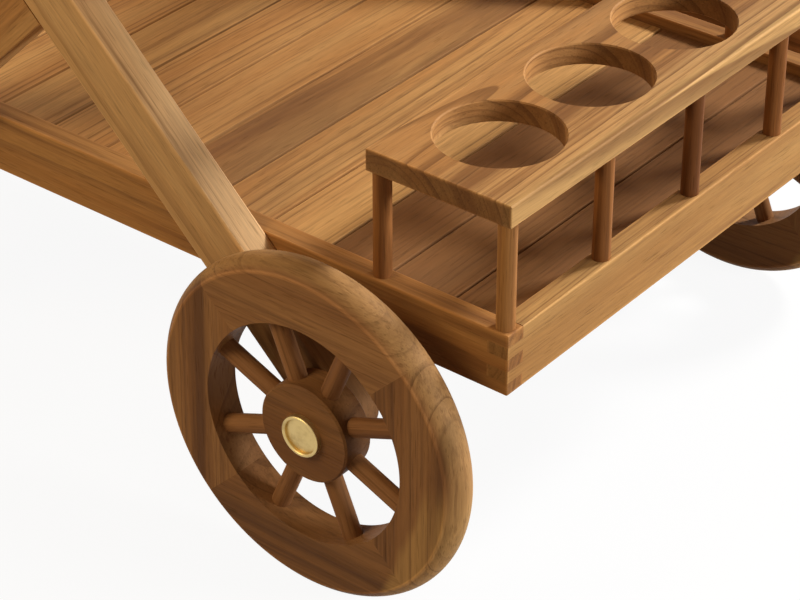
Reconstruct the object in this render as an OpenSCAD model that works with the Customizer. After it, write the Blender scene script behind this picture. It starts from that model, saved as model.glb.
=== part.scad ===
// Two-tier wooden serving trolley with spoked wheels at one end and a bottle holder over them.
// +X points to the bottle end, -X to the handle, +Z up. The origin is on the ground, under the
// centre of the trolley's outer box. "right" is the -Y side, as seen by someone who pushes it.

/* [Trays] */
// Width of both trays across the outer faces of the side rails
tray_w = 480; // [440:5:540]
// Length of the lower tray
lower_l = 820; // [790:5:850]
// Length of the upper tray
upper_l = 720; // [680:5:760]
// Height of the lower tray's underside above the ground
lower_z = 203; // [180:1:215]
// Height of the upper tray's underside above the ground
upper_z = 625; // [590:5:660]
// Height of a rail
rail_h = 50; // [44:1:60]
// Thickness of a rail
rail_t = 18; // [15:1:22]
// Radius on the top arrises of a rail
rail_round = 1; // [0.5:0.5:3]
// Layers in a corner finger joint
finger_layers = 5; // [3:2:7]
// How far the rail tops stand above the floor boards
lip_h = 10; // [6:1:14]

/* [Floor boards] */
// Width of a floor board
board_w = 57; // [45:1:70]
// Thickness of a floor board
board_t = 12; // [10:1:14]
// Depth of the V groove where two boards meet
vee = 1.5; // [0.5:0.5:2.5]
// Length of a board's tongue
tongue_l = 5; // [3:0.5:7]
// Thickness of a board's tongue
tongue_t = 4; // [3:0.5:5]
// Gap between a board's end and the side rail, and between two boards
board_gap = 0.4; // [0.3:0.1:0.8]
// Width of a ledger strip under the boards
ledger_w = 14; // [10:1:20]
// Height of a ledger strip
ledger_h = 16; // [12:1:20]

/* [Bottle holder] */
// Width of the holder plank, along the trolley
plank_w = 127; // [116:1:150]
// Thickness of the holder plank
plank_t = 18; // [16:1:24]
// Radius on the arrises of the holder plank
plank_round = 1.5; // [1:0.5:3]
// Clear height between the rails and the holder plank
plank_gap = 87; // [70:1:110]
// Number of bottle holes
hole_n = 4; // [3:1:4]
// Diameter of a bottle hole
hole_d = 95; // [80:1:98]
// Distance between the centres of two bottle holes
hole_pitch = 110; // [104:1:114]
// Distance of the hole centres from the outer edge of the plank
hole_in = 66; // [58:1:68]
// Chamfer on the rim of a bottle hole
hole_chamfer = 1; // [0.5:0.5:2]
// Diameter of a holder post
post_d = 14; // [12:0.5:15]
// Number of posts on the end rail
end_posts = 5; // [3:1:5]
// Depth of a post in the rail or in the plank
post_seat = 12; // [8:1:14]

/* [Side frames] */
// Slope of the beams and legs above the horizontal, in degrees
slope = 44; // [42:1:46]
// Width of a beam or leg, seen from the side
beam_w = 47; // [40:1:52]
// Thickness of a beam or leg
beam_t = 28; // [22:1:32]
// Radius on the arrises of a beam or leg
beam_round = 2; // [1:0.5:5]
// Height of the axis where beam and leg cross
cross_z = 405; // [380:5:420]
// Distance of the wheel axle from the bottle end of the lower tray
axle_in = 139; // [139:1:150]
// Height of the handle's axis
handle_z = 830; // [800:1:860]
// Diameter of the handle bar
handle_d = 30; // [26:1:34]
// Diameter of the handle bar's tenons
handle_tenon_d = 20; // [16:1:22]

/* [Wheels] */
// Outer diameter of a wheel, at the middle of its tread
wheel_d = 280; // [266:1:282]
// Width of the wheel's rim, along the radius
rim_w = 49; // [42:0.5:54]
// Thickness of the wheel's rim
rim_t = 31; // [26:1:36]
// How far the middle of the tread bulges beyond the edges of the rim's faces
crown_h = 8.5; // [2:0.5:10]
// Number of felloes in a rim
felloe_n = 4; // [4]
// Number of spokes
spoke_n = 8; // [8]
// Diameter of a spoke
spoke_d = 15; // [12:0.5:18]
// Depth of a spoke in the hub and in the rim
spoke_seat = 14; // [8:1:18]
// Diameter of the hub
hub_d = 81; // [72:1:88]
// Length of the hub
hub_l = 29; // [26:1:31]
// Chamfer on the hub's edges
hub_chamfer = 1.5; // [0.5:0.5:3]
// Gap between the beam and the wheel
wheel_gap = 1.5; // [1.5:0.5:4]
// Diameter of the steel axle
axle_d = 14; // [12:0.5:16]
// Wall of the brass bush in the hub
bush_wall = 3; // [2:0.5:4]
// Diameter of the thrust washer between beam and hub
washer_d = 36; // [30:1:44]
// Width across the flats of the axle nut
nut_w = 20; // [19:0.5:22]
// Thickness of the axle nut
nut_t = 5; // [4:0.5:6]
// Diameter of the brass hub cap
cap_d = 34; // [33:0.5:40]
// Height of the cap's rim above the hub
cap_h = 5; // [3:0.5:6]
// Width of the cap's raised rim
cap_rim_w = 3; // [2:0.5:4]
// Thickness of the cap's sheet
cap_wall = 1.5; // [1:0.25:2]

/* [Fasteners] */
// Diameter of the bolts that hold the trays to the side frames
bolt_d = 6; // [5:0.5:8]
// Diameter of a bolt's head
bolt_head_d = 12; // [10:0.5:14]
// Height of a bolt's head
bolt_head_h = 3.5; // [3:0.5:5]
// Depth of a tray bolt's tip in the beam or leg
bolt_grip = 18; // [12:1:20]
// Diameter of the bolt where a beam and a leg cross
cross_bolt_d = 8; // [6:1:10]
// Diameter of the crossing bolt's domed heads
cross_head_d = 18; // [14:1:22]
// Height of the crossing bolt's domed heads
cross_head_h = 4; // [3:0.5:6]

/* [Fits] */
// Clearance on the radius of a shaft that turns in its hole
running_gap = 0.05; // [0.02:0.01:0.09]
// Clearance on the radius of a glued or pressed round joint
glue_gap = 0.1; // [0.05:0.05:0.2]
// Side play of the wheel on its axle
side_play = 0.4; // [0.3:0.1:0.8]

/* [Hidden] */

$fn = 96;
eps = 0.01;
over = 1;

TEAK = "#a9723f";
TEAK_LIGHT = "#bf8a50";
TEAK_DARK = "#7d4f2b";
BRASS = "#c9a84c";
STEEL = "#9a9c9e";

wheel_r = wheel_d / 2;
rim_in_r = wheel_r - rim_w;
axle_r = axle_d / 2;
bush_r = axle_r + running_gap + bush_wall;
nut_r = nut_w / 2 / cos(30);
well_r = cap_d / 2 - cap_rim_w / 2;
well_depth = nut_t + side_play + over;

// Stations along X. The outer box runs from the bottle end of the lower tray back to the
// handle's end, or to the feet where they reach further.
handle_back = (handle_z - wheel_r) / tan(slope);
foot_back = (2 * cross_z - wheel_r) / tan(slope);
overall_l = axle_in + max(handle_back + beam_w / 2, foot_back + beam_w / 2 / sin(slope));
bottle_x = overall_l / 2;
axle_x = bottle_x - axle_in;
handle_x = axle_x - handle_back;
cross_x = axle_x - (cross_z - wheel_r) / tan(slope);
lower_x = bottle_x - lower_l / 2;
upper_x = cross_x;

// Stations across Y, measured outwards from the middle on the right side
rail_out = tray_w / 2;
rail_in = rail_out - rail_t;
beam_out = rail_out + beam_t;
wheel_in = beam_out + wheel_gap;
hub_out = wheel_in + hub_l;
axle_end = hub_out - well_depth + nut_t + side_play;

// Heights inside a tray, above its underside
floor_top = rail_h - lip_h;
floor_under = floor_top - board_t;
ledger_mid = floor_under - ledger_h / 2;
finger_h = rail_h / finger_layers;
plank_z = lower_z + rail_h + plank_gap;

function beam_x(z) = axle_x - (z - wheel_r) / tan(slope);
function leg_x(z) = cross_x + (z - cross_z) / tan(slope);
function spoke_angle(i) = 360 / spoke_n * (i + 0.5);
function felloe_start(i) = 360 / felloe_n * (i - 0.5);

// A rectangle with round corners, its centre at the origin
module round_rect(size, r) {
    square([size[0] - 2 * r, size[1]], center = true);
    square([size[0], size[1] - 2 * r], center = true);
    for (x = [-1, 1])
        for (y = [-1, 1])
            translate([x * (size[0] / 2 - r), y * (size[1] / 2 - r)])
                circle(r);
}

// Stands a flat shape up in the XZ plane and gives it a thickness outwards from y = -from
module side_plate(from, thickness) {
    translate([0, -from, 0])
        rotate([90, 0, 0])
            linear_extrude(thickness)
                children();
}

// Places a child, drawn with its axis on +Z, with its axis pointing out to the right side
module to_right(x, out, z) {
    translate([x, -out, z])
        rotate([90, 0, 0])
            children();
}

module to_left() {
    mirror([0, 1, 0])
        children();
}

// ---- Trays ----

// Section of a rail: its outer face on x = 0, its thickness along +x, its height along +y
module rail_section() {
    square([rail_t, rail_h - rail_round]);
    square([rail_t - rail_round, rail_h]);
    translate([rail_t - rail_round, rail_h - rail_round])
        circle(rail_round);
}

// Outline of a tray seen from a side: as high as a rail from y = 0, with round upper corners
module tray_outline(width) {
    translate([-width / 2, 0])
        square([width, rail_h - rail_round]);
    translate([rail_round - width / 2, 0])
        square([width - 2 * rail_round, rail_h]);
    for (side = [-1, 1])
        translate([side * (width / 2 - rail_round), rail_h - rail_round])
            circle(rail_round);
}

// Rounds the outer arrises of a tray, which run over its corner joints
module tray_corners(length) {
    intersection() {
        translate([0, 0, -over])
            linear_extrude(rail_h + 2 * over)
                round_rect([length, tray_w], rail_round);
        rotate([90, 0, 0])
            linear_extrude(tray_w + over, center = true)
                tray_outline(length);
        rotate([90, 0, 90])
            linear_extrude(length + over, center = true)
                tray_outline(tray_w);
        children();
    }
}

// The layers that the end rail's fingers take at the corners of the tray
module end_fingers(length) {
    for (end = [-1, 1])
        for (layer = [1 : 2 : finger_layers - 2])
            translate([end * (length - rail_t) / 2, 0, (layer + 0.5) * finger_h])
                cube([rail_t, tray_w + 2 * over, finger_h], center = true);
}

// The right side rail of a tray whose centre is on the origin
module side_rail(length, bolt_xs) {
    difference() {
        tray_corners(length)
            translate([-length / 2, -rail_out, 0])
                rotate([90, 0, 90])
                    linear_extrude(length)
                        rail_section();
        end_fingers(length);
        for (x = bolt_xs)
            to_right(x, rail_in - over, ledger_mid)
                cylinder(d = bolt_d + 2 * glue_gap, h = rail_t + 2 * over);
    }
}

// The end rail at +X of a tray whose centre is on the origin
module end_rail(length) {
    difference() {
        tray_corners(length)
            translate([length / 2, -tray_w / 2, 0])
                rotate([90, 0, 180])
                    linear_extrude(tray_w)
                        rail_section();
        for (side = [-1, 1])
            for (layer = [0 : 2 : finger_layers - 1])
                translate([length / 2, side * (rail_in + rail_t), (layer + 0.5) * finger_h])
                    cube([2 * rail_t + 2 * over, 2 * rail_t, finger_h], center = true);
    }
}

// The strip that carries the board ends, against the right side rail
module ledger(length, bolt_xs) {
    difference() {
        translate([-length / 2 + rail_t, -rail_in, floor_under - ledger_h])
            cube([length - 2 * rail_t, ledger_w, ledger_h]);
        for (x = bolt_xs)
            to_right(x, rail_in - ledger_w - over, ledger_mid)
                cylinder(d = bolt_d + 2 * glue_gap, h = ledger_w + 2 * over);
    }
}

// Section of a floor board between the seams x = a and x = b, with its top at y = 0
module board_section(a, b, has_tongue, has_groove) {
    low = a + board_gap / 2;
    high = b - board_gap / 2;
    mid = -board_t / 2;
    difference() {
        union() {
            polygon([
                [low, -board_t], [high, -board_t], [high, -vee],
                [high - vee, 0], [low + vee, 0], [low, -vee]
            ]);
            if (has_tongue)
                translate([high - eps, mid - tongue_t / 2])
                    square([tongue_l + eps, tongue_t]);
        }
        if (has_groove)
            translate([low - over, mid - tongue_t / 2 - board_gap / 2])
                square([tongue_l + over, tongue_t + board_gap]);
    }
}

// Full boards are laid outwards from the middle, and the end boards are cut to what is left
module floor_boards(length) {
    half = length / 2 - rail_t;
    n = ceil(half / board_w) - 1;
    seams = concat([-half], [for (i = [-n : n]) i * board_w], [half]);
    for (i = [0 : len(seams) - 2])
        translate([0, rail_in - board_gap, floor_top])
            rotate([90, 0, 0])
                linear_extrude(2 * (rail_in - board_gap))
                    board_section(seams[i], seams[i + 1], i < len(seams) - 2, i > 0);
}

// A tray bolt from inside the ledger, through the rail and into the side frame
module tray_bolt(x) {
    to_right(x, rail_in - ledger_w - bolt_head_h, ledger_mid) {
        cylinder(d = bolt_head_d, h = bolt_head_h);
        cylinder(d = bolt_d, h = bolt_head_h + ledger_w + rail_t + bolt_grip);
    }
}

module tray_bolts(bolt_xs) {
    for (x = bolt_xs) {
        tray_bolt(x);
        to_left()
            tray_bolt(x);
    }
}

// Where the beams and legs cross the ledgers, from the middle of each tray
lower_bolt_z = lower_z + ledger_mid;
upper_bolt_z = upper_z + ledger_mid;
lower_bolt_xs = [leg_x(lower_bolt_z) - lower_x, beam_x(lower_bolt_z) - lower_x];
upper_bolt_xs = [beam_x(upper_bolt_z) - upper_x, leg_x(upper_bolt_z) - upper_x];

module at_lower_tray() {
    translate([lower_x, 0, lower_z])
        children();
}

module at_upper_tray() {
    translate([upper_x, 0, upper_z])
        children();
}

// ---- Bottle holder ----

// Posts stand over the middle of the end rail's top and, at the back, of the side rails' tops
front_post_x = bottle_x - rail_t / 2;
back_post_x = bottle_x - plank_w + post_d / 2 + plank_round;
side_post_y = rail_out - rail_t / 2;
end_post_pitch = 2 * side_post_y / (end_posts - 1);
front_post_ys = [for (i = [0 : end_posts - 1]) i * end_post_pitch - side_post_y];
post_spots = concat(
    [for (y = front_post_ys) [front_post_x, y]],
    [[back_post_x, -side_post_y], [back_post_x, side_post_y]]
);
hole_ys = [for (i = [0 : hole_n - 1]) (i - (hole_n - 1) / 2) * hole_pitch];

// Sockets for the posts, from the rail tops down and from the plank's underside up
module post_sockets() {
    for (spot = post_spots)
        translate([spot[0], spot[1], lower_z + rail_h - post_seat])
            cylinder(d = post_d + 2 * glue_gap, h = plank_gap + 2 * post_seat);
}

module post(spot) {
    translate([spot[0], spot[1], lower_z + rail_h - post_seat])
        cylinder(d = post_d, h = plank_gap + 2 * post_seat);
}

// A board with every arris rounded, from three crossed round sections
module eased_board(size, r) {
    intersection() {
        linear_extrude(size[2], center = true)
            round_rect([size[0], size[1]], r);
        rotate([90, 0, 0])
            linear_extrude(size[1] + over, center = true)
                round_rect([size[0], size[2]], r);
        rotate([90, 0, 90])
            linear_extrude(size[0] + over, center = true)
                round_rect([size[1], size[2]], r);
    }
}

module bottle_hole() {
    mouth_r = hole_d / 2 + 2 * hole_chamfer;
    cylinder(d = hole_d, h = plank_t + 2 * over, center = true);
    for (flip = [0, 1])
        mirror([0, 0, flip])
            translate([0, 0, plank_t / 2 - hole_chamfer])
                cylinder(r1 = hole_d / 2, r2 = mouth_r, h = 2 * hole_chamfer);
}

module holder_plank() {
    difference() {
        translate([bottle_x - plank_w / 2, 0, plank_z + plank_t / 2])
            eased_board([plank_w, tray_w, plank_t], plank_round);
        for (y = hole_ys)
            translate([bottle_x - hole_in, y, plank_z + plank_t / 2])
                bottle_hole();
        post_sockets();
    }
}

// ---- Side frames ----

// A bar of the side frame's section, lying along +X from x = 0
module bar(length) {
    rotate([90, 0, 90])
        linear_extrude(length)
            round_rect([beam_t, beam_w], beam_round);
}

// Places a bar against the right side rail, from (x, z) along a slope
module along(x, z, angle) {
    translate([x, -(rail_out + beam_t / 2), z])
        rotate([0, -angle, 0])
            children();
}

leg_angle = 180 + slope;
beam_angle = 180 - slope;
beam_l = (handle_z - wheel_r) / sin(slope);
leg_top = upper_z + rail_h - rail_round;
leg_reach = beam_w + cross_z / sin(slope);
leg_l = leg_reach + beam_w + (leg_top - cross_z) / sin(slope);
half_lap = beam_t / 2;

module leg_blank() {
    along(leg_x(0) - beam_w * cos(slope), -beam_w * sin(slope), slope)
        bar(leg_l + beam_w);
}

// The slanted beam from the wheel's axle to the handle, round at both ends
module beam_blank() {
    intersection() {
        along(axle_x + beam_w * cos(slope), wheel_r - beam_w * sin(slope), beam_angle)
            bar(beam_l + 2 * beam_w);
        side_plate(rail_out - over, beam_t + 2 * over) {
            translate([axle_x, wheel_r])
                circle(d = beam_w);
            translate([handle_x, handle_z])
                circle(d = beam_w);
            translate([axle_x, wheel_r])
                rotate(beam_angle)
                    translate([0, -beam_w / 2])
                        square([beam_l, beam_w]);
        }
    }
}

// The overlap of beam and leg, in a layer of the side frame from y = -from outwards
module crossing(from, angle) {
    translate([cross_x, -from - half_lap / 2, cross_z])
        rotate([0, -angle, 0])
            cube([3 * beam_w, half_lap, beam_w], center = true);
}

module frame_bolt_holes() {
    for (z = [lower_bolt_z, upper_bolt_z])
        for (x = [beam_x(z), leg_x(z)])
            to_right(x, rail_out - over, z)
                cylinder(d = bolt_d + 2 * glue_gap, h = bolt_grip + over);
    to_right(cross_x, rail_out - over, cross_z)
        cylinder(d = cross_bolt_d + 2 * glue_gap, h = beam_t + 2 * over);
}

// The beam gives up its inner half where the leg passes
module beam() {
    difference() {
        beam_blank();
        crossing(rail_out, slope);
        frame_bolt_holes();
        to_right(axle_x, rail_out - over, wheel_r)
            cylinder(r = axle_r + glue_gap, h = beam_t + 2 * over);
        to_right(handle_x, rail_out - over, handle_z)
            cylinder(d = handle_tenon_d + 2 * glue_gap, h = beam_t + 2 * over);
    }
}

// The leg gives up its outer half where the beam passes, and is cut level at foot and top
module leg() {
    difference() {
        intersection() {
            leg_blank();
            translate([-overall_l, -beam_out - over, 0])
                cube([2 * overall_l, beam_t + 2 * over, leg_top]);
        }
        crossing(rail_out + half_lap, beam_angle);
        frame_bolt_holes();
    }
}

module handle_bar() {
    translate([handle_x, 0, handle_z])
        rotate([90, 0, 0]) {
            cylinder(d = handle_d, h = tray_w, center = true);
            cylinder(d = handle_tenon_d, h = tray_w + 2 * beam_t, center = true);
        }
}

// A bolt with a low dome at each end, on +Z from z = 0
module domed_bolt(shank_d, head_d, head_h, grip) {
    dome_r = (head_d * head_d / 4 + head_h * head_h) / (2 * head_h);
    cylinder(d = shank_d, h = grip);
    translate([0, 0, grip])
        rotate_extrude()
            intersection() {
                translate([0, head_h - dome_r])
                    circle(dome_r);
                square([head_d / 2, head_h]);
            }
}

module crossing_bolt() {
    to_right(cross_x, rail_out, cross_z)
        domed_bolt(cross_bolt_d, cross_head_d, cross_head_h, beam_t);
    to_right(cross_x, rail_out, cross_z)
        mirror([0, 0, 1])
            domed_bolt(cross_bolt_d, cross_head_d, cross_head_h, eps);
}

// ---- Wheels ----

// Half section of the rim: radius along +x, thickness along +y from the inner face. Its faces
// are flat and its tread is a low arc from one face to the other.
module rim_section() {
    half_t = rim_t / 2;
    crown_r = (half_t * half_t + crown_h * crown_h) / (2 * crown_h);
    translate([rim_in_r, 0])
        square([rim_w - crown_h, rim_t]);
    intersection() {
        translate([wheel_r - crown_r, half_t])
            circle(crown_r);
        translate([wheel_r - crown_h - eps, 0])
            square([crown_h + over, rim_t]);
    }
}

// Spoke dowels or their sockets, in the middle of the rim's thickness
module spokes(d) {
    for (i = [0 : spoke_n - 1])
        rotate(spoke_angle(i))
            translate([hub_d / 2 - spoke_seat, 0, rim_t / 2])
                rotate([0, 90, 0])
                    cylinder(d = d, h = rim_in_r - hub_d / 2 + 2 * spoke_seat);
}

module felloe(i) {
    difference() {
        rotate(felloe_start(i))
            rotate_extrude(angle = 360 / felloe_n)
                rim_section();
        spokes(spoke_d + 2 * glue_gap);
    }
}

module hub() {
    r = hub_d / 2;
    difference() {
        rotate_extrude()
            polygon([
                [bush_r + glue_gap, 0], [r - hub_chamfer, 0], [r, hub_chamfer],
                [r, hub_l - hub_chamfer], [r - hub_chamfer, hub_l],
                [well_r + glue_gap, hub_l], [well_r + glue_gap, hub_l - well_depth],
                [bush_r + glue_gap, hub_l - well_depth]
            ]);
        spokes(spoke_d + 2 * glue_gap);
    }
}

module bush() {
    difference() {
        cylinder(r = bush_r, h = hub_l - well_depth);
        translate([0, 0, -over])
            cylinder(r = axle_r + running_gap, h = hub_l + over);
    }
}

// A pressed cap: a skirt in the hub's well, a raised rim and a low domed middle
module cap() {
    r = cap_d / 2;
    ring_in = r - cap_rim_w;
    middle_h = cap_h / 2;
    dome_h = cap_h / 4;
    dome_r = (ring_in * ring_in + dome_h * dome_h) / (2 * dome_h);
    skirt = well_depth - nut_t - side_play;
    translate([0, 0, hub_l])
        rotate_extrude() {
            translate([ring_in, 0])
                square([cap_rim_w, cap_h - cap_rim_w / 2]);
            translate([r - cap_rim_w / 2, cap_h - cap_rim_w / 2])
                circle(d = cap_rim_w);
            translate([0, middle_h - cap_wall])
                square([ring_in + eps, cap_wall]);
            translate([0, middle_h])
                intersection() {
                    translate([0, dome_h - dome_r])
                        circle(dome_r);
                    square([ring_in, dome_h]);
                }
            translate([well_r - cap_wall, -skirt])
                square([cap_wall, skirt + eps]);
        }
}

module at_wheel() {
    to_right(axle_x, wheel_in, wheel_r)
        children();
}

module axle() {
    translate([axle_x, 0, wheel_r])
        rotate([90, 0, 0])
            cylinder(r = axle_r, h = 2 * axle_end, center = true);
}

module thrust_washer() {
    to_right(axle_x, beam_out, wheel_r)
        difference() {
            cylinder(d = washer_d, h = wheel_gap - side_play);
            translate([0, 0, -over])
                cylinder(r = axle_r + glue_gap, h = wheel_gap + 2 * over);
        }
}

module axle_nut() {
    to_right(axle_x, axle_end - nut_t, wheel_r)
        difference() {
            cylinder(r = nut_r, h = nut_t, $fn = 6);
            translate([0, 0, -over])
                cylinder(r = axle_r + glue_gap, h = nut_t + 2 * over);
        }
}

// ---- The pieces ----

module lower_rail_right() {
    color(TEAK)
        difference() {
            at_lower_tray()
                side_rail(lower_l, lower_bolt_xs);
            post_sockets();
        }
}

module lower_rail_left() {
    to_left()
        lower_rail_right();
}

module lower_rail_bottle_end() {
    color(TEAK_LIGHT)
        difference() {
            at_lower_tray()
                end_rail(lower_l);
            post_sockets();
        }
}

module lower_rail_handle_end() {
    color(TEAK_LIGHT)
        at_lower_tray()
            mirror([1, 0, 0])
                end_rail(lower_l);
}

module lower_ledger_right() {
    color(TEAK_DARK)
        at_lower_tray()
            ledger(lower_l, lower_bolt_xs);
}

module lower_floor_boards() {
    color(TEAK)
        at_lower_tray()
            floor_boards(lower_l);
}

module upper_rail_right() {
    color(TEAK)
        at_upper_tray()
            side_rail(upper_l, upper_bolt_xs);
}

module upper_rail_bottle_end() {
    color(TEAK_LIGHT)
        at_upper_tray()
            end_rail(upper_l);
}

module upper_rail_handle_end() {
    color(TEAK_LIGHT)
        at_upper_tray()
            mirror([1, 0, 0])
                end_rail(upper_l);
}

module upper_ledger_right() {
    color(TEAK_DARK)
        at_upper_tray()
            ledger(upper_l, upper_bolt_xs);
}

module upper_floor_boards() {
    color(TEAK)
        at_upper_tray()
            floor_boards(upper_l);
}

lower_rail_right();
lower_rail_left();
lower_rail_bottle_end();
lower_rail_handle_end();
lower_ledger_right();
to_left() lower_ledger_right();  // lower_ledger_left
lower_floor_boards();
upper_rail_right();
to_left() upper_rail_right();  // upper_rail_left
upper_rail_bottle_end();
upper_rail_handle_end();
upper_ledger_right();
to_left() upper_ledger_right();  // upper_ledger_left
upper_floor_boards();
color(TEAK_LIGHT) holder_plank();
color(TEAK) post(post_spots[0]);  // corner_post_right
color(TEAK) post(post_spots[end_posts - 1]);  // corner_post_left
color(TEAK) post(post_spots[1]);  // middle_post_1
color(TEAK) post(post_spots[2]);  // middle_post_2
color(TEAK) post(post_spots[3]);  // middle_post_3
color(TEAK) post(post_spots[end_posts]);  // back_post_right
color(TEAK) post(post_spots[end_posts + 1]);  // back_post_left
color(TEAK_LIGHT) beam();  // beam_right
color(TEAK_LIGHT) to_left() beam();  // beam_left
color(TEAK) leg();  // leg_right
color(TEAK) to_left() leg();  // leg_left
color(TEAK_LIGHT) handle_bar();
color(BRASS) crossing_bolt();  // crossing_bolt_right
color(BRASS) to_left() crossing_bolt();  // crossing_bolt_left
color(STEEL) at_lower_tray() tray_bolts(lower_bolt_xs);  // lower_tray_bolts
color(STEEL) at_upper_tray() tray_bolts(upper_bolt_xs);  // upper_tray_bolts
color(STEEL) axle();
color(BRASS) thrust_washer();  // thrust_washer_right
color(BRASS) to_left() thrust_washer();  // thrust_washer_left
color(STEEL) axle_nut();  // axle_nut_right
color(STEEL) to_left() axle_nut();  // axle_nut_left
color(TEAK_DARK) at_wheel() felloe(0);  // right_wheel_felloe_1
color(TEAK_DARK) at_wheel() felloe(1);  // right_wheel_felloe_2
color(TEAK_DARK) at_wheel() felloe(2);  // right_wheel_felloe_3
color(TEAK_DARK) at_wheel() felloe(3);  // right_wheel_felloe_4
color(TEAK) at_wheel() spokes(spoke_d);  // right_wheel_spokes
color(TEAK_DARK) at_wheel() hub();  // right_wheel_hub
color(BRASS) at_wheel() bush();  // right_wheel_bush
color(BRASS) at_wheel() cap();  // right_wheel_cap
color(TEAK_DARK) to_left() at_wheel() felloe(0);  // left_wheel_felloe_1
color(TEAK_DARK) to_left() at_wheel() felloe(1);  // left_wheel_felloe_2
color(TEAK_DARK) to_left() at_wheel() felloe(2);  // left_wheel_felloe_3
color(TEAK_DARK) to_left() at_wheel() felloe(3);  // left_wheel_felloe_4
color(TEAK) to_left() at_wheel() spokes(spoke_d);  // left_wheel_spokes
color(TEAK_DARK) to_left() at_wheel() hub();  // left_wheel_hub
color(BRASS) to_left() at_wheel() bush();  // left_wheel_bush
color(BRASS) to_left() at_wheel() cap();  // left_wheel_cap
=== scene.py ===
# %% [markdown]
# # A wooden serving trolley, finished for its picture
# The trolley's shape is complete when it arrives here: rails, boards, dowels, wheels and brass
# are separate solids. This lesson adds what a solid can't carry, which is the wood itself, the
# metal and the light. Everything stays in metres and in the place where the solids were packed.

# %% Load the trolley
import math
import bpy
from mathutils import Matrix, Vector


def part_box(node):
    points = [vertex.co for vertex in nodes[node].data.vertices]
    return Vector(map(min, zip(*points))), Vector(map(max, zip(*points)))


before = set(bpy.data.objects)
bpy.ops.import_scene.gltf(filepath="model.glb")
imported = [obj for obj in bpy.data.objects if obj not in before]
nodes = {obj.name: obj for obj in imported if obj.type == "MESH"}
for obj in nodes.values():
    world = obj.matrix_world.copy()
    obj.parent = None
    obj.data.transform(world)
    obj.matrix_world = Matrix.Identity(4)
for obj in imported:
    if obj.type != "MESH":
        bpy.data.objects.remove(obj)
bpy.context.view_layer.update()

SIDES = ("right", "left")

# %% [markdown]
# ## A way to write shaders
# A material is a graph of nodes, and long graphs are hard to read as lists of links. So a socket
# is wrapped in a small class on which +, -, *, / and ** work as they do on numbers, and each adds
# its Math node. The other nodes, from noise to the surface shader, come from one method.

# %% A socket that can be used in a sum
class Wire:
    """One output of a shader node. Arithmetic on wires adds Math nodes to the material."""

    def __init__(self, finish, socket):
        self.finish = finish
        self.socket = socket

    def math(self, operation, *values):
        """A Math node that is fed these values, in the order of its sockets."""
        return self.finish.node("Math", {"operation": operation}, dict(enumerate(values)))

    def __add__(self, other):
        return self.math("ADD", self, other)

    __radd__ = __add__

    def __sub__(self, other):
        return self.math("SUBTRACT", self, other)

    def __rsub__(self, other):
        return self.math("SUBTRACT", other, self)

    def __mul__(self, other):
        return self.math("MULTIPLY", self, other)

    __rmul__ = __mul__

    def __truediv__(self, other):
        return self.math("DIVIDE", self, other)

    def __rtruediv__(self, other):
        return self.math("DIVIDE", other, self)

    def __pow__(self, other):
        return self.math("POWER", self, other)

    def __rpow__(self, other):
        return self.math("POWER", other, self)


print("wires know", [name for name in vars(Wire) if name.startswith("__r")])

# %% A material that grows node by node
class Finish:
    """A material under construction."""

    def __init__(self, name, tree=None):
        self.material = None
        if tree is None:
            self.material = bpy.data.materials.new(name)
            self.material.use_nodes = True
            tree = self.material.node_tree
        self.tree = tree
        self.tree.nodes.clear()

    def node(self, kind, settings=None, inputs=None, output=0):
        """Adds a node: its settings first, then the values or wires of its sockets.

        The result is the wire of one output, or nothing for a node without outputs.
        """
        made = self.tree.nodes.new("ShaderNode" + kind)
        for key, value in (settings or {}).items():
            if key == "stops":
                self.set_stops(made.color_ramp, value)
            else:
                setattr(made, key, value)
        for key, value in (inputs or {}).items():
            socket = self.find(made.inputs, key)
            if isinstance(value, Wire):
                self.tree.links.new(value.socket, socket)
            else:
                socket.default_value = value
        return Wire(self, self.find(made.outputs, output)) if len(made.outputs) else None

    def find(self, sockets, key):
        """A socket by its number, or the one in use that has this name."""
        if isinstance(key, int):
            return sockets[key]
        return next(s for s in sockets if s.name == key and s.enabled)

    def axes(self, vector):
        """The x, y and z of a vector, as three wires."""
        node = self.node("SeparateXYZ", {}, {0: vector}).socket.node
        return [Wire(self, socket) for socket in node.outputs]

    def place(self, x, y, z):
        """A vector from three wires or numbers."""
        return self.node("CombineXYZ", {}, {0: x, 1: y, 2: z})

    def absolute(self, value):
        """A value without its sign."""
        return self.node("Math", {"operation": "ABSOLUTE"}, {0: value})

    def whole(self, value):
        """The whole number below a value."""
        return self.node("Math", {"operation": "FLOOR"}, {0: value})

    def set_stops(self, ramp, stops):
        """Gives a colour ramp these greys, each from its place on."""
        while len(ramp.elements) > 1:
            ramp.elements.remove(ramp.elements[-1])
        for i, (place, grey) in enumerate(stops):
            stop = ramp.elements[0] if i == 0 else ramp.elements.new(place)
            stop.position = place
            stop.color = (grey, grey, grey, 1)


print("a finish starts empty and ends in a surface shader")

# %% [markdown]
# ## Looking across the grain
# On a real board every mark follows the tree: pores and fibres run along the trunk, and the
# growth rings are cylinders round its pith. Painting each face would break these marks at every
# arris. A solid texture keeps them together, so a ring that leaves the top of a rail comes out on
# its end. For this, each piece gets a frame of its own, with x along its grain and the pith on
# the x axis.

# %% The frame of one piece's grain
def grain_axes(along, face):
    """The rows of the turn that puts x along the grain and z out of the face."""
    x = Vector(along).normalized()
    z = (Vector(face) - Vector(face).dot(x) * x).normalized()
    return Matrix([x, z.cross(x), z])


def in_piece(finish, centre, turn):
    """The place seen from the middle of the piece, in metres, with x along the grain."""
    here = finish.node("TexCoord", output="Object")
    return finish.node("Mapping", {"vector_type": "POINT"}, {
        "Vector": here, "Location": turn @ -Vector(centre), "Rotation": turn.to_euler("XYZ")})


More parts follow.
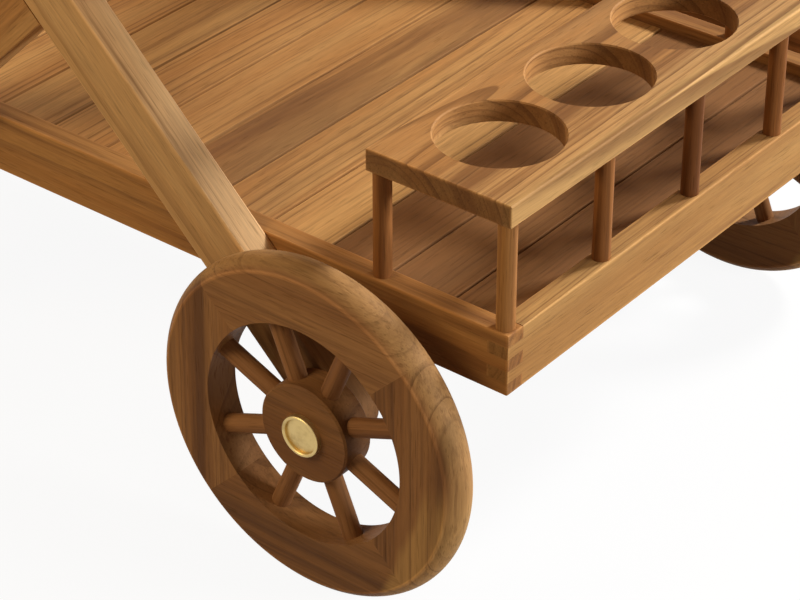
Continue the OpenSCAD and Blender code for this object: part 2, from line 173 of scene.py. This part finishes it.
def in_tree(finish, local, pith, seed):
    """The same place seen from the pith of the tree, each piece from its own stretch of it."""
    return finish.node("VectorMath", {"operation": "ADD"}, {
        0: local, 1: (seed * 3.7, -pith[0], -pith[1])})


def stretched_noise(finish, place, per_metre, detail=2.0, roughness=0.5):
    """Noise with so many features per metre along x, y and z."""
    scaled = finish.node("VectorMath", {"operation": "MULTIPLY"}, {0: place, 1: per_metre})
    return finish.node("TexNoise", {"noise_dimensions": "3D", "normalize": True}, {
        "Vector": scaled, "Scale": 1.0, "Detail": detail, "Roughness": roughness}, "Fac")


def ease(finish, value, low, high):
    """0 below low, 1 above high and a soft step between them."""
    return finish.node("MapRange", {"interpolation_type": "SMOOTHSTEP"}, {
        "Value": value, "From Min": low, "From Max": high})


def tint(finish, factor, a, b, how="MIX"):
    """A colour between a and b, or b laid over a."""
    return finish.node("Mix", {"data_type": "RGBA", "blend_type": how}, {
        "Factor": factor, "A": a, "B": b}, "Result")


print("grain frames ready")

# %% [markdown]
# ## Teak
# Teak is a ring-porous wood. Each ring has a dark line of open pores next to plain wood, and no
# two rings are as wide or as dark as each other. Whole groups of rings darken to brown or reddish
# stripes, and close to the bark the sapwood is yellow. It could be made from a picture of a
# board, but then all boards would share it. Here the rings are cylinders round the pith, bent and
# tapered like a trunk. So a flat-sawn face shows arches, a quarter-sawn one shows lines and a sawn
# end shows arcs, and the stripes, streaks and fibres all follow the same bends.

# %% Teak's colours, and how close its marks are
SAP = (0.480, 0.285, 0.110)
PALE = (0.510, 0.285, 0.112)
WARM = (0.420, 0.202, 0.068)
HEART = (0.190, 0.080, 0.028)

# Marks per metre, along the trunk and across it
BENDS = (2.0, 8, 8)
RIPPLES = (7, 45, 45)
GLOWS = (1.6, 24, 24)
STREAKS = (4, 120, 120)
VEINS = (6, 340, 340)
FLECKS = (34, 420, 420)
FIBRES = (26, 900, 900)
PORES = (42, 680, 680)

# Per metre: brown stripes along the trunk and outwards, and places where the rings crowd
STRIPES_ALONG, STRIPES_OUT = 0.9, 48
CROWDS = 55


def colour(rgb):
    return (*rgb, 1.0)


print("teak runs from", PALE, "to", HEART)


# %% The wood as a recipe
def dress_wood(finish, place, pale=PALE, warm=WARM, heart=HEART, stripes=0.5, rings=0.5,
               ring=0.006, taper=0.012, wander=0.016, streaks=0.42, veins=0.2, tone=0.0,
               end=0.0, worn_and_lit=0.0, sap=0.0):
    """Adds the wood's surface to a finish, from a place in the frame of the tree.

    stripes, rings, streaks and veins say how strong these marks are. ring is the width of a
    growth ring and wander how far the rings stray, both in metres, and taper is the trunk's.
    A higher tone is browner wood, and end, worn and sap mask the cut ends, the arrises that are
    lightened as wear and as a painted highlight, and the sapwood.
    """
    bend = stretched_noise(finish, place, BENDS, 1.0) - 0.5
    ripple = stretched_noise(finish, place, RIPPLES, 2.0) - 0.5
    x, y, z = finish.axes(place)
    shift = bend * wander + ripple * 0.003
    radius = (y * y + z * z) ** 0.5 + x * taper + shift
    along = finish.place(x, y + shift, z + shift * 0.7)

    # Rings of unequal width, each with its own darkness
    crowd = finish.node("TexNoise", {"noise_dimensions": "1D"}, {
        "W": radius * CROWDS, "Scale": 1.0, "Detail": 1.0}, "Fac")
    turn = radius / ring + crowd * 2.5
    number = finish.whole(turn)
    phase = turn - number
    chance = finish.node("TexWhiteNoise", {"noise_dimensions": "1D"}, {"W": number}, "Value")
    line = ease(finish, phase, 0.55, 0.95) * (1 - ease(finish, phase, 0.96, 1.0)) * chance

    # Stripes of darker heartwood, which keep to their rings
    in_rings = finish.place(x * STRIPES_ALONG, radius * STRIPES_OUT, 0.5)
    band = finish.node("TexNoise", {}, {
        "Vector": in_rings, "Scale": 1.0, "Detail": 4.0, "Roughness": 0.62}, "Fac")
    brown = ease(finish, band + tone, 0.62 - 0.3 * stripes, 0.82 - 0.3 * stripes)
    glow = stretched_noise(finish, along, GLOWS, 2.0)

    # Soft streaks, thin veins, then flecks, fibres and open pores
    streak = stretched_noise(finish, along, STREAKS, 4.0, 0.62)
    vein = ease(finish, stretched_noise(finish, along, VEINS, 2.0), 0.55, 0.66)
    dark_streak = ease(finish, streak, 0.53, 0.68)
    fleck = stretched_noise(finish, along, FLECKS, 3.0, 0.6)
    fibre = stretched_noise(finish, along, FIBRES, 2.0, 0.65)
    pores = ease(finish, stretched_noise(finish, along, PORES, 1.0), 0.60, 0.72)

    # From the ground colour up, each mark is laid over the ones before; long marks end at a cut
    base = tint(finish, ease(finish, glow, 0.34, 0.66), colour(pale), colour(warm))
    base = tint(finish, brown * 0.85, base, colour(heart))
    base = tint(finish, sap, base, colour(SAP))
    long_grain = 1 - ease(finish, end, 0.0, 0.3) * 0.85
    base = tint(finish, dark_streak * long_grain * streaks, base, colour(heart))
    base = tint(finish, vein * long_grain * veins, base, colour(heart))
    base = tint(finish, end * 0.42, base, colour(heart))
    base = tint(finish, line * rings, base, colour([v * 0.8 for v in heart]))
    # The arrises are lightened here, partly as rubbed wear and partly as a painted highlight.
    shade = (1.06 + (streak - 0.5) * 0.30 + (fleck - 0.5) * 0.45 + (fibre - 0.5) * 0.40
             - pores * 0.20 - end * 0.16 + worn_and_lit * 0.32)
    base = tint(finish, 1.0, base, finish.node("CombineColor", {}, {
        "Red": shade, "Green": shade, "Blue": shade}), "MULTIPLY")
    finish.surface = {
        "Base Color": base,
        "Roughness": 0.58 + (fibre - 0.5) * 0.25 + pores * 0.12,
        "Normal": finish.node("Bump", {}, {
            "Height": fleck * 0.4 + fibre * 0.5 - pores - line * 0.5, "Strength": 0.25,
            "Distance": 0.0006}, "Normal"),
        "Specular IOR Level": 0.10,
    }
    return finish


def end_grain(finish, along):
    """1 where a face is cut across the grain, which drinks more oil and is darker."""
    facing = finish.node("TexCoord", output="Normal")
    cut = finish.node("VectorMath", {"operation": "DOT_PRODUCT"}, {
        0: facing, 1: Vector(along).normalized()}, "Value")
    return ease(finish, finish.absolute(cut), 0.55, 0.95)


def worn_and_lit_arris(finish, local, half):
    """1 on the arrises of a squared piece with these half sizes, lightened as wear and as a painted
    highlight.
    """
    inside = [h - finish.absolute(v) for h, v in zip(half, finish.axes(local))]
    low = inside[0].math("MINIMUM", inside[0], inside[1])
    high = inside[0].math("MAXIMUM", inside[0], inside[1])
    second = low.math("MAXIMUM", low, high.math("MINIMUM", high, inside[2]))
    return 1 - ease(finish, second, 0.0006, 0.0026)


def seal(finish):
    """Joins the surface to the material's output and returns the material."""
    shader = finish.node("BsdfPrincipled", {}, finish.surface, "BSDF")
    finish.node("OutputMaterial", {}, {"Surface": shader})
    return finish.material


print("a sawn end, a worn arris and plain wood are one recipe")

# %% [markdown]
# ## Putting wood on the pieces
# A finish is given to a piece through its material slots. The centre of the piece's box is a good
# origin for the grain, and the pith lies a few centimetres from it: under a flat-sawn board, whose
# face then shows arches, or beside a quarter-sawn one, whose face shows lines.

# %% One piece, one board
def wear(name, material):
    piece = nodes[name]
    if not piece.material_slots:
        piece.data.materials.append(material)
    for slot in piece.material_slots:
        slot.material = material


def middle(name):
    low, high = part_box(name)
    return (low + high) / 2


def half_sizes(name, turn):
    """Half the size of a piece's box, along the axes of its grain."""
    low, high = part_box(name)
    return [abs(v) for v in turn @ ((high - low) / 2)]


def wooden(name, along, face, pith, seed, centre=None, section=None, thirst=1.0, painted_shade_radius=0.0,
           **looks):
    """Dresses a piece: section has the half sizes of a slanting bar, thirst darkens end grain
    and painted_shade_radius is the radius of a patch of painted shade round the centre."""
    finish = Finish("teak_" + name)
    turn = grain_axes(along, face)
    local = in_piece(finish, centre or middle(name), turn)
    place = in_tree(finish, local, pith, seed)
    # A patch round the centre is browned as painted shade, where the wheel shades the beam.
    if painted_shade_radius:
        off_centre = finish.node("VectorMath", {"operation": "LENGTH"}, {0: local}, "Value")
        looks["tone"] = (1 - ease(finish, off_centre, painted_shade_radius * 0.3, painted_shade_radius)) * 0.6
    # Its arrises are lightened as wear and as a painted highlight.
    dress_wood(finish, place, end=end_grain(finish, along) * thirst,
               worn_and_lit=worn_and_lit_arris(finish, local, section or half_sizes(name, turn)), **looks)
    wear(name, seal(finish))


print("a piece needs its name, its grain, its face, its pith and its seed")

# %% The rails and ledgers
X, Y, Z = (1, 0, 0), (0, 1, 0), (0, 0, 1)
SIDE_RAIL = {"pale": (0.440, 0.222, 0.074), "warm": (0.360, 0.158, 0.046)}
END_RAIL = {"pale": (0.425, 0.236, 0.084), "warm": (0.365, 0.184, 0.060)}
for i, side in enumerate(SIDES):
    wooden(f"lower_rail_{side}", X, Y, (0.03, 0.05), 1 + i, **SIDE_RAIL, stripes=0.6, thirst=0.35)
    wooden(f"upper_rail_{side}", X, Y, (0.02, -0.06), 3 + i, stripes=0.4)
    wooden(f"lower_ledger_{side}", X, Y, (0.01, 0.05), 5 + i)
    wooden(f"upper_ledger_{side}", X, Y, (0.01, 0.05), 7 + i)
for i, end in enumerate(("bottle_end", "handle_end")):
    wooden(f"lower_rail_{end}", Y, X, (0.02, -0.06), 9 + i, **END_RAIL, stripes=0.35, rings=0.6)
    wooden(f"upper_rail_{end}", Y, X, (0.03, -0.06), 11 + i, stripes=0.25)
print("rails done")

# %% [markdown]
# ## The floor boards
# The boards of a floor come from different planks, so some are golden and some nearly brown. All
# boards of one tray are one node. The shader counts which board a point is on and uses that number
# to pick a tone and another part of the tree.

# %% Boards that differ
BOARD = 0.057
BOARDS_APART = (5.0, 0.13, 0.02)
SEAM_OIL_AND_SHADE = (0.12, 0.05, 0.02)
FLOOR = {"pale": (0.530, 0.292, 0.106), "warm": (0.450, 0.216, 0.070),
         "heart": (0.170, 0.074, 0.028)}


def floor_finish(name, tones, seed):
    """Dresses a tray's floor, with one tone from 0 to 1 for each board."""
    finish = Finish("teak_" + name)
    mid = middle(name)
    place = in_tree(finish, in_piece(finish, mid, grain_axes(Y, Z)), (-0.05, -0.035), seed)
    x = finish.axes(finish.node("TexCoord", output="Object"))[0]
    n = len(tones)
    across = (x - mid.x) / BOARD + n / 2
    board = finish.whole(across)
    stops = [(i / n, t) for i, t in enumerate(tones)]
    tone = finish.node("ValToRGB", {"stops": stops}, {"Fac": (board + 0.5) / n}, "Color")
    tone.socket.node.color_ramp.interpolation = "CONSTANT"
    grey = finish.node("SeparateColor", {}, {0: tone}, "Red")
    chance = finish.node("TexWhiteNoise", {"noise_dimensions": "1D"}, {"W": board + seed}, "Color")
    jump = finish.node("VectorMath", {"operation": "MULTIPLY"}, {0: chance, 1: BOARDS_APART})
    place = finish.node("VectorMath", {"operation": "ADD"}, {0: place, 1: jump})

    # In board widths from the board's middle: a rubbed arris, lightened as wear and as a painted
    # highlight, then the groove to its neighbour, darkened with oil and with painted shade
    off_middle = finish.absolute(across - board - 0.5)
    oiled_shaded_groove = ease(finish, off_middle, 0.466, 0.482)
    arris = ease(finish, off_middle, 0.440, 0.458) * (1 - oiled_shaded_groove)
    dress_wood(finish, place, **FLOOR, tone=(grey - 0.5) * 0.6, stripes=0.6, rings=0.6,
               streaks=0.30, veins=0.10, worn_and_lit=arris * 0.35)
    # The groove is darkened with oil and with painted shade.
    finish.surface["Base Color"] = tint(finish, oiled_shaded_groove * 0.4, finish.surface["Base Color"],
                                        colour(SEAM_OIL_AND_SHADE))
    finish.surface["Roughness"] = finish.surface["Roughness"] + oiled_shaded_groove * 0.3
    wear(name, seal(finish))
    return n


lower_tones = (0.35, 0.3, 0.45, 0.3, 0.3, 0.4, 0.3, 0.25, 0.65, 0.4, 0.2, 0.95, 0.9, 0.95)
upper_tones = (0.5, 0.6, 0.4, 0.5, 0.55, 0.7, 0.5, 0.35, 0.5, 0.6, 0.4, 0.5)
print("boards:", floor_finish("lower_floor_boards", lower_tones, 21),
      floor_finish("upper_floor_boards", upper_tones, 22))

# %% [markdown]
# ## The bottle holder
# The plank is one broad flat-sawn board, so its face shows strong dark figure and its ends the
# rings. Its front edge is the sapwood side, which is why it is yellow. The posts are turned
# dowels, each from a stick of its own; one middle post is browned as painted shade and the
# corner post is paler as painted light.

# %% The plank
SAPWOOD_FROM, SAPWOOD_TO = -0.010, -0.003


def plank_finish(name):
    """Dresses the plank, with sapwood where its front edge is near."""
    finish = Finish("teak_" + name)
    front_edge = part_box(name)[1].x
    turn = grain_axes(Y, Z)
    local = in_piece(finish, middle(name), turn)
    front = finish.axes(finish.node("TexCoord", output="Object"))[0] - front_edge
    wave = stretched_noise(finish, local, (6, 60, 60), 2.0) - 0.5
    # Its arrises are lightened as wear and as a painted highlight.
    dress_wood(finish, in_tree(finish, local, (0.045, -0.035), 31), stripes=0.45, rings=0.8,
               ring=0.007, taper=0.03, end=end_grain(finish, Y) * 1.5,
               worn_and_lit=worn_and_lit_arris(finish, local, half_sizes(name, turn)),
               sap=ease(finish, front + wave * 0.012, SAPWOOD_FROM, SAPWOOD_TO) * 0.9)
    wear(name, seal(finish))


plank_finish("holder_plank")
print("plank done")

# %% The posts
DOWEL = {"pale": (0.30, 0.124, 0.038), "warm": (0.22, 0.082, 0.022), "heart": (0.12, 0.041, 0.012)}
# A paler copy of the dowel colours for the corner post, as painted light where it is better lit.
LIT_DOWEL = {"pale": (0.38, 0.178, 0.056), "warm": (0.30, 0.120, 0.034)}
# This middle post is browned as painted shade under the plank.
SHADED_POST = "middle_post_2"
posts = ["corner_post_left", "middle_post_1", "middle_post_2", "middle_post_3", "back_post_right",
         "back_post_left"]
for i, name in enumerate(posts):
    wooden(name, Z, X, (0.03, 0.02), 40 + i, **DOWEL, stripes=0.35,
           tone=0.2 if name == SHADED_POST else 0.0)
# The corner post takes the paler colours as painted light.
wooden("corner_post_right", Z, X, (0.03, 0.02), 47, **LIT_DOWEL, stripes=0.3)
print("posts like each other:", len(posts), "and one paler")

# %% [markdown]
# ## Beams, legs and handle
# These are long straight-grained bars. The shader only needs the direction of each bar, which is
# the slope of the crossed side frames. Round the axle the beams are darkened with painted shade.

# %% Side frames
SLOPE = math.radians(44)
beam_line = (-math.cos(SLOPE), 0, math.sin(SLOPE))
leg_line = (math.cos(SLOPE), 0, math.sin(SLOPE))
SECTION = (1.0, 0.0235, 0.014)  # half sizes: past both ends, then half the width and thickness
BEAM = {"pale": (0.620, 0.392, 0.188), "warm": (0.540, 0.312, 0.134)}
axle_x, axle_z = middle("axle").x, middle("axle").z
for i, side in enumerate(SIDES):
    bolt = middle(f"crossing_bolt_{side}")
    beam, leg = f"beam_{side}", f"leg_{side}"
    # Each beam is darkened round the axle with painted shade from the wheel.
    wooden(beam, beam_line, Y, (0.02, 0.06), 51 + i, Vector((axle_x, middle(beam).y, axle_z)),
           SECTION, **BEAM, stripes=0.0, rings=0.35, streaks=0.12, veins=0.10, painted_shade_radius=0.11)
    wooden(leg, leg_line, Y, (0.02, 0.06), 53 + i, Vector((bolt.x, middle(leg).y, bolt.z)),
           SECTION, stripes=0.35)
wooden("handle_bar", Y, Z, (0.02, 0.03), 55, stripes=0.3)
print("side frames done")

# %% [markdown]
# ## The wheels
# A rim is cut from four short boards, the felloes, and the grain of each runs along its chord:
# upright at the sides, level above and below. That is why the tone changes at each joint. The hub
# is turned from one block, and the spokes are dowels whose grain points to the hub.

# %% The felloes' wood
WHEEL = {"pale": (0.345, 0.173, 0.069), "warm": (0.252, 0.114, 0.042),
         "heart": (0.120, 0.051, 0.019)}
FACE_EDGE = 0.1315  # from the axle to the line where the face rounds into the tread
BARK = 0.110  # from the axle to the sapwood, at the right of the wheel


def felloe_finish(name, along, pith, centre, seed):
    """Dresses one felloe, with a face edge lightened as wear and as a painted highlight, a scuffed
    tread and sapwood at its bark side.
    """
    finish = Finish("teak_" + name)
    x, y, z = finish.axes(finish.node("VectorMath", {"operation": "SUBTRACT"}, {
        0: finish.node("TexCoord", output="Object"), 1: centre}))
    from_axle = (x * x + z * z) ** 0.5
    off_edge = finish.absolute(from_axle - FACE_EDGE)
    local = in_piece(finish, centre, grain_axes(along, Y))
    wave = stretched_noise(finish, local, (9, 30, 30), 2.0) - 0.5
    sapwood = ease(finish, x - z * 0.35 + wave * 0.03, BARK, BARK + 0.009) * ease(
        finish, z, 0.02, -0.03) * 0.65
    scuffed = ease(finish, from_axle, FACE_EDGE + 0.001, FACE_EDGE + 0.006) * 0.45
    cut = end_grain(finish, along)
    # The line where the face rounds into the tread is lightened as wear and as a painted highlight.
    dress_wood(finish, in_tree(finish, local, (pith, 0.02), seed), **WHEEL, stripes=0.5,
               rings=0.5 * (1 - cut * 0.8), ring=0.007, veins=0.25, end=cut * 0.6,
               worn_and_lit=(1 - ease(finish, off_edge, 0.0006, 0.0020)) * 1.5,
               sap=sapwood + scuffed * (1 - sapwood))
    wear(name, seal(finish))


print("felloe wood ready")

# %% Felloes and hubs
HUB = {"pale": (0.25, 0.116, 0.042), "warm": (0.19, 0.081, 0.028), "heart": (0.110, 0.044, 0.016)}
felloes = {1: (Z, -0.05), 2: (X, 0.04), 3: (Z, 0.05), 4: (X, 0.05)}
for j, side in enumerate(SIDES):
    hub = f"{side}_wheel_hub"
    for number, (along, pith) in felloes.items():
        felloe_finish(f"{side}_wheel_felloe_{number}", along, pith, middle(hub),
                      60 + 10 * j + number)
    wooden(hub, X, Y, (0.03, 0.02), 65 + 10 * j, **HUB, stripes=0.4)
print("felloes:", 2 * len(felloes))


# %% Spokes, whose grain turns with their angle
SPOKE = {"pale": (0.34, 0.160, 0.064), "warm": (0.26, 0.116, 0.044), "heart": (0.14, 0.056, 0.020)}
SPOKE_COUNT = 8
STICKS_APART = 1.9


def spoke_finish(name, centre, seed):
    """Dresses all spokes of a wheel, each from another stretch of its tree."""
    finish = Finish("teak_" + name)
    here = finish.node("TexCoord", output="Object")
    x, y, z = finish.axes(finish.node("VectorMath", {"operation": "SUBTRACT"}, {
        0: here, 1: centre}))
    step = 2 * math.pi / SPOKE_COUNT
    angle = finish.node("Math", {"operation": "ARCTAN2"}, {0: z, 1: x})
    spoke = finish.whole(angle / step)
    turn = (spoke + 0.5) * step
    cos = finish.node("Math", {"operation": "COSINE"}, {0: turn})
    sin = finish.node("Math", {"operation": "SINE"}, {0: turn})
    outwards, aside = x * cos + z * sin, z * cos - x * sin
    place = finish.place(outwards + spoke * STICKS_APART + seed, aside + 0.03, y + 0.02)
    dress_wood(finish, place, **SPOKE, stripes=0.3)
    wear(name, seal(finish))


for j, side in enumerate(SIDES):
    spoke_finish(f"{side}_wheel_spokes", middle(f"{side}_wheel_hub"), 3.3 * j)
print("spokes done")

# %% [markdown]
# ## Metal
# The caps and washers are brass, brushed by handling, and the axle, nuts and bolts are plain steel.
# A metal's colour is its base colour at full metallic, and soft scratches and dull spots in the
# roughness keep it from looking like plastic.

# %% Brass and steel
def metal_finish(name, rgb, dull, rough):
    """A bare metal with dull spots and fine scratches."""
    finish = Finish(name)
    here = finish.node("TexCoord", output="Object")
    spots = stretched_noise(finish, here, (90, 90, 90), 4.0, 0.6)
    scratch = stretched_noise(finish, here, (2500, 400, 260), 1.0)
    base = tint(finish, ease(finish, spots, 0.45, 0.75), colour(rgb), colour(dull))
    finish.surface = {
        "Base Color": base,
        "Metallic": 1.0,
        "Roughness": rough + (spots - 0.5) * 0.30 + (scratch - 0.5) * 0.12,
        "Normal": finish.node("Bump", {}, {
            "Height": scratch, "Strength": 0.06, "Distance": 0.0002}, "Normal"),
    }
    return seal(finish)


brass = metal_finish("brass", (0.60, 0.43, 0.175), (0.42, 0.29, 0.11), 0.40)
steel = metal_finish("steel", (0.56, 0.56, 0.57), (0.40, 0.39, 0.38), 0.38)
for side in SIDES:
    for part in (f"{side}_wheel_cap", f"{side}_wheel_bush", f"thrust_washer_{side}",
                 f"crossing_bolt_{side}"):
        wear(part, brass)
    wear(f"axle_nut_{side}", steel)
for part in ("axle", "lower_tray_bolts", "upper_tray_bolts"):
    wear(part, steel)
print("metal done")

# %% [markdown]
# ## The studio
# The picture is a cut-out on white, so the floor and the sky are white to the camera and in
# mirrors, and the floor keeps the shadow. What they send back to the wood is weak and warm. One
# soft lamp stands behind and throws the posts' shadows forward, a warm one stands in front on the
# left, and a low one on the right fills the end rails and the treads.

# %% A white floor that keeps the shadow
PAPER = (0.96, 0.96, 0.96)
PAPER_SPECK = (0.93, 0.93, 0.93)
FLOOR_TO_WOOD = (0.36, 0.29, 0.21)
FLOOR_REACH = 20.0
FLOOR_GLOW = 0.92


def stage_floor():
    """Lays the studio floor: paper that glows to the camera and is dull and warm to the wood."""
    signs = ((-1, -1), (1, -1), (1, 1), (-1, 1))
    corners = [(i * FLOOR_REACH, j * FLOOR_REACH, 0) for i, j in signs]
    mesh = bpy.data.meshes.new("studio_floor")
    mesh.from_pydata(corners, [], [(0, 1, 2, 3)])
    floor = bpy.data.objects.new("studio_floor", mesh)
    bpy.context.scene.collection.objects.link(floor)
    finish = Finish("studio_white")
    here = finish.node("TexCoord", output="Object")
    speck = stretched_noise(finish, here, (8, 8, 8), 3.0)
    seen = finish.node("LightPath", output="Is Camera Ray")
    seen = seen + Wire(finish, seen.socket.node.outputs["Is Glossy Ray"])
    paper = tint(finish, speck, colour(PAPER), colour(PAPER_SPECK))
    paper = tint(finish, seen, colour(FLOOR_TO_WOOD), paper)
    matt = finish.node("BsdfDiffuse", {}, {"Color": paper}, "BSDF")
    glow = finish.node("Emission", {}, {"Color": (1, 1, 1, 1), "Strength": 1.0}, "Emission")
    shader = finish.node("MixShader", {}, {"Fac": seen * FLOOR_GLOW, 1: matt, 2: glow}, "Shader")
    finish.node("OutputMaterial", {}, {"Surface": shader})
    mesh.materials.append(finish.material)


stage_floor()
print("floor laid at z = 0")


# %% The sky
WARM_AIR = (1.0, 0.80, 0.58)
WHITE = (1.0, 1.0, 1.0)


def sky(strength, mirrored):
    """Lights the wood with warm air of this strength and shows white, also in mirrors."""
    world = bpy.data.worlds.new("studio_sky")
    bpy.context.scene.world = world
    world.use_nodes = True
    finish = Finish("studio_sky", world.node_tree)
    seen = finish.node("LightPath", output="Is Camera Ray")
    glossy = Wire(finish, seen.socket.node.outputs["Is Glossy Ray"])
    level = strength + glossy * (mirrored - strength)
    white = finish.node("Background", {}, {
        "Color": tint(finish, seen + glossy, colour(WARM_AIR), colour(WHITE)),
        "Strength": level + seen * (1 - level)}, "Background")
    finish.node("OutputWorld", {}, {"Surface": white})


sky(0.12, 0.9)
print("sky done")

# %% The lamps
TARGET = Vector((0.30, -0.05, 0.28))
DAYLIGHT = (1.0, 0.99, 0.97)
LAMPLIGHT = (1.0, 0.81, 0.52)


def towards(azimuth, elevation):
    """The direction at these angles in degrees, where azimuth 0 is straight in front, at -Y."""
    a, e = math.radians(azimuth), math.radians(elevation)
    return Vector((math.sin(a) * math.cos(e), -math.cos(a) * math.cos(e), math.sin(e)))


def lamp(name, angles, distance, size, level, tone):
    """An area lamp that lights a surface facing it to the given level, 1 being plain white."""
    place = TARGET + distance * towards(*angles)
    data = bpy.data.lights.new(name, "AREA")
    data.shape, data.size, data.size_y = "RECTANGLE", size[0], size[1]
    data.energy, data.color = level * (math.pi * distance) ** 2, tone
    light = bpy.data.objects.new(name, data)
    light.location = place
    light.rotation_euler = (TARGET - place).to_track_quat("-Z", "Y").to_euler()
    bpy.context.scene.collection.objects.link(light)
    return light


lamps = [
    lamp("behind", (158, 35), 2.8, (0.5, 0.5), 1.14, DAYLIGHT),
    lamp("front_left", (-32, 35), 2.6, (1.4, 0.9), 0.45, LAMPLIGHT),
    lamp("low_right", (103, 15), 2.6, (0.7, 0.5), 0.61, DAYLIGHT),
]
print("lamps:", [light.name for light in lamps])

# %% [markdown]
# ## The camera
# The photograph was solved for its camera: a long lens, from 38.5 degrees round the right and
# 33.4 degrees above. The same camera stands here, so that each edge falls where it does in the
# photograph.

# %% Camera
CAMERA_PLACE = (1.3608, -1.5215, 1.3229)
CAMERA_AZIMUTH, CAMERA_ELEVATION = 38.46, 33.38
FOCAL_LENGTH, SENSOR_WIDTH = 123.97, 36.0


def aim_camera(place, azimuth, elevation, lens):
    """A camera that looks back along these angles, in degrees, with its lens in millimetres."""
    data = bpy.data.cameras.new("camera")
    data.lens, data.sensor_width = lens, SENSOR_WIDTH
    data.clip_start, data.clip_end = 0.05, 50.0
    camera = bpy.data.objects.new("camera", data)
    camera.location = place
    camera.rotation_euler = (-towards(azimuth, elevation)).to_track_quat("-Z", "Y").to_euler()
    bpy.context.scene.collection.objects.link(camera)
    bpy.context.scene.camera = camera


aim_camera(CAMERA_PLACE, CAMERA_AZIMUTH, CAMERA_ELEVATION, FOCAL_LENGTH)
bpy.context.scene.view_settings.view_transform = "Standard"
print("camera set")
